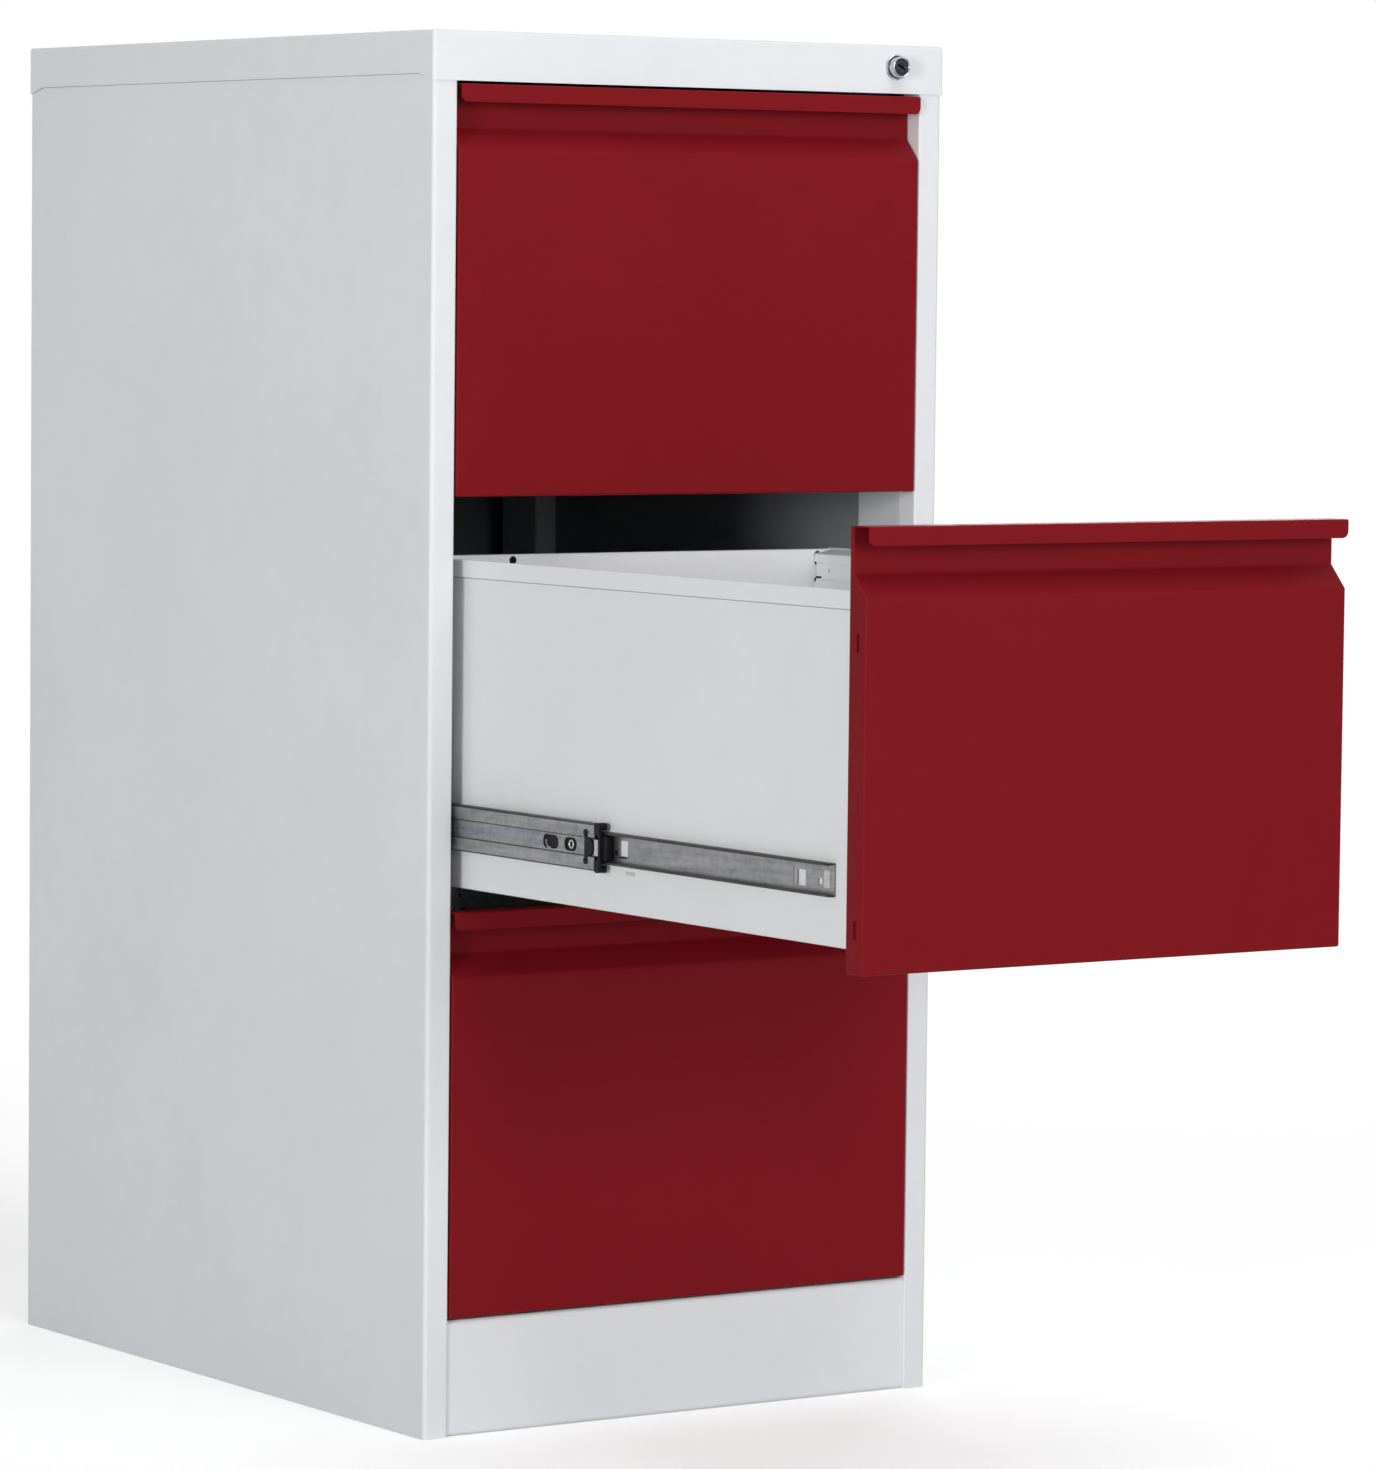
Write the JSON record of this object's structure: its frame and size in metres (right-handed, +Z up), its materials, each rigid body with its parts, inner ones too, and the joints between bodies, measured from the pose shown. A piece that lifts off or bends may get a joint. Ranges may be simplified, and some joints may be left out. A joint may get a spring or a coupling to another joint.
{
  "type": "filing cabinet",
  "caption": "Steel filing cabinet with stacked drawers on ball-bearing slides, finger-recess fronts and a push lock that bars all drawers; the middle one is drawn out.",
  "frame": {"origin": "centre of the cabinet's footprint, on the floor; the open middle drawer stands out in front of it", "axes": "+Z up, -Y out of the front (the drawers open along -Y), +X to the right seen from the front"},
  "size_m": [0.45, 1.1145, 1.016],
  "materials": {
    "shell_paint": "light grey powder coat, fine texture, satin",
    "front_paint": "dark red powder coat, fine texture, satin",
    "tray_paint": "light grey powder coat, satin",
    "frame_steel": "grey primer, matt",
    "slide_zinc": "bright zinc plate, drawn grain",
    "cage_steel": "plain steel",
    "black_plastic": "moulded, matt",
    "lock_chrome": "polished",
    "core_steel": "dark nickel"
  },
  "bodies": {
    "cabinet": {"left_side_panel": "shell_paint", "right_side_panel": "shell_paint", "top_cap": "shell_paint", "plinth": "shell_paint", "back_panel": "shell_paint", "base_pan": "shell_paint", "lock_rail": "shell_paint", "upright_front_left": "frame_steel", "upright_front_right": "frame_steel", "upright_rear_left": "frame_steel", "upright_rear_right": "frame_steel", "slide_cabinet_members_top": "slide_zinc", "slide_cabinet_members_middle": "slide_zinc", "slide_cabinet_members_bottom": "slide_zinc", "lock_housing": "lock_chrome", "lock_nut": "slide_zinc", "lock_bar_guides": "slide_zinc"},
    "drawer_top": {"drawer_front_top": "front_paint", "drawer_liner_top": "tray_paint", "drawer_tray_top": "tray_paint", "drawer_back_top": "tray_paint", "file_rails_top": "tray_paint", "lock_catch_top": "slide_zinc", "slide_drawer_members_top": "slide_zinc"},
    "middle_members_top": {"slide_middle_members_top": "slide_zinc", "slide_bumpers_top": "black_plastic"},
    "outer_cages_top": {"ball_cages_outer_top": "cage_steel"},
    "inner_cages_top": {"ball_cages_inner_top": "cage_steel"},
    "drawer_middle": {"drawer_front_middle": "front_paint", "drawer_liner_middle": "tray_paint", "drawer_tray_middle": "tray_paint", "drawer_back_middle": "tray_paint", "file_rails_middle": "tray_paint", "lock_catch_middle": "slide_zinc", "slide_drawer_members_middle": "slide_zinc"},
    "middle_members_middle": {"slide_middle_members_middle": "slide_zinc", "slide_bumpers_middle": "black_plastic"},
    "outer_cages_middle": {"ball_cages_outer_middle": "cage_steel"},
    "inner_cages_middle": {"ball_cages_inner_middle": "cage_steel"},
    "drawer_bottom": {"drawer_front_bottom": "front_paint", "drawer_liner_bottom": "tray_paint", "drawer_tray_bottom": "tray_paint", "drawer_back_bottom": "tray_paint", "file_rails_bottom": "tray_paint", "lock_catch_bottom": "slide_zinc", "slide_drawer_members_bottom": "slide_zinc"},
    "middle_members_bottom": {"slide_middle_members_bottom": "slide_zinc", "slide_bumpers_bottom": "black_plastic"},
    "outer_cages_bottom": {"ball_cages_outer_bottom": "cage_steel"},
    "inner_cages_bottom": {"ball_cages_inner_bottom": "cage_steel"},
    "lock_plunger": {"lock_plunger": "lock_chrome"},
    "key_core": {"key_core": "core_steel"},
    "lock_bar": {"lock_bar": "slide_zinc", "lock_bar_arm": "slide_zinc", "lock_bar_tongues": "slide_zinc"}
  },
  "joints": [
    {"name": "drawer_top_slide", "type": "slide", "parent": "cabinet", "child": "drawer_top", "axis": [0, -1, 0], "range_m": [0, 0.55]},
    {"name": "middle_members_top_slide", "type": "slide", "parent": "cabinet", "child": "middle_members_top", "axis": [0, -1, 0], "range_m": [0, 0.25002]},
    {"name": "outer_cages_top_slide", "type": "slide", "parent": "cabinet", "child": "outer_cages_top", "axis": [0, -1, 0], "range_m": [0, 0.12502]},
    {"name": "inner_cages_top_slide", "type": "slide", "parent": "cabinet", "child": "inner_cages_top", "axis": [0, -1, 0], "range_m": [0, 0.40002]},
    {"name": "drawer_middle_slide", "type": "slide", "parent": "cabinet", "child": "drawer_middle", "axis": [0, -1, 0], "range_m": [-0.506, 0.044]},
    {"name": "middle_members_middle_slide", "type": "slide", "parent": "cabinet", "child": "middle_members_middle", "axis": [0, -1, 0], "range_m": [-0.23002, 0.02002]},
    {"name": "outer_cages_middle_slide", "type": "slide", "parent": "cabinet", "child": "outer_cages_middle", "axis": [0, -1, 0], "range_m": [-0.11502, 0.01002]},
    {"name": "inner_cages_middle_slide", "type": "slide", "parent": "cabinet", "child": "inner_cages_middle", "axis": [0, -1, 0], "range_m": [-0.36802, 0.03202]},
    {"name": "drawer_bottom_slide", "type": "slide", "parent": "cabinet", "child": "drawer_bottom", "axis": [0, -1, 0], "range_m": [0, 0.55]},
    {"name": "middle_members_bottom_slide", "type": "slide", "parent": "cabinet", "child": "middle_members_bottom", "axis": [0, -1, 0], "range_m": [0, 0.25002]},
    {"name": "outer_cages_bottom_slide", "type": "slide", "parent": "cabinet", "child": "outer_cages_bottom", "axis": [0, -1, 0], "range_m": [0, 0.12502]},
    {"name": "inner_cages_bottom_slide", "type": "slide", "parent": "cabinet", "child": "inner_cages_bottom", "axis": [0, -1, 0], "range_m": [0, 0.40002]},
    {"name": "lock_push", "type": "slide", "parent": "cabinet", "child": "lock_plunger", "axis": [0, 1, 0], "range_m": [0, 0.007], "stiffness_N_per_m": 500, "springref_m": -0.016},
    {"name": "key_turn", "type": "hinge", "parent": "lock_plunger", "child": "key_core", "pos_m": [0.181, -0.305, 0.9995], "axis": [0, -1, 0], "range_deg": [-90, 0]},
    {"name": "lock_bar_drop", "type": "slide", "parent": "cabinet", "child": "lock_bar", "axis": [0, 0, -1], "range_m": [0, 0.00702]}
  ],
  "couplings": [
    {"joint": "middle_members_top_slide", "follows": "drawer_top_slide", "ratio": 0.45455},
    {"joint": "outer_cages_top_slide", "follows": "drawer_top_slide", "ratio": 0.22727},
    {"joint": "inner_cages_top_slide", "follows": "drawer_top_slide", "ratio": 0.72727},
    {"joint": "middle_members_middle_slide", "follows": "drawer_middle_slide", "ratio": 0.45455},
    {"joint": "outer_cages_middle_slide", "follows": "drawer_middle_slide", "ratio": 0.22727},
    {"joint": "inner_cages_middle_slide", "follows": "drawer_middle_slide", "ratio": 0.72727},
    {"joint": "middle_members_bottom_slide", "follows": "drawer_bottom_slide", "ratio": 0.45455},
    {"joint": "outer_cages_bottom_slide", "follows": "drawer_bottom_slide", "ratio": 0.22727},
    {"joint": "inner_cages_bottom_slide", "follows": "drawer_bottom_slide", "ratio": 0.72727},
    {"joint": "lock_bar_drop", "follows": "lock_push", "ratio": 1}
  ]
}
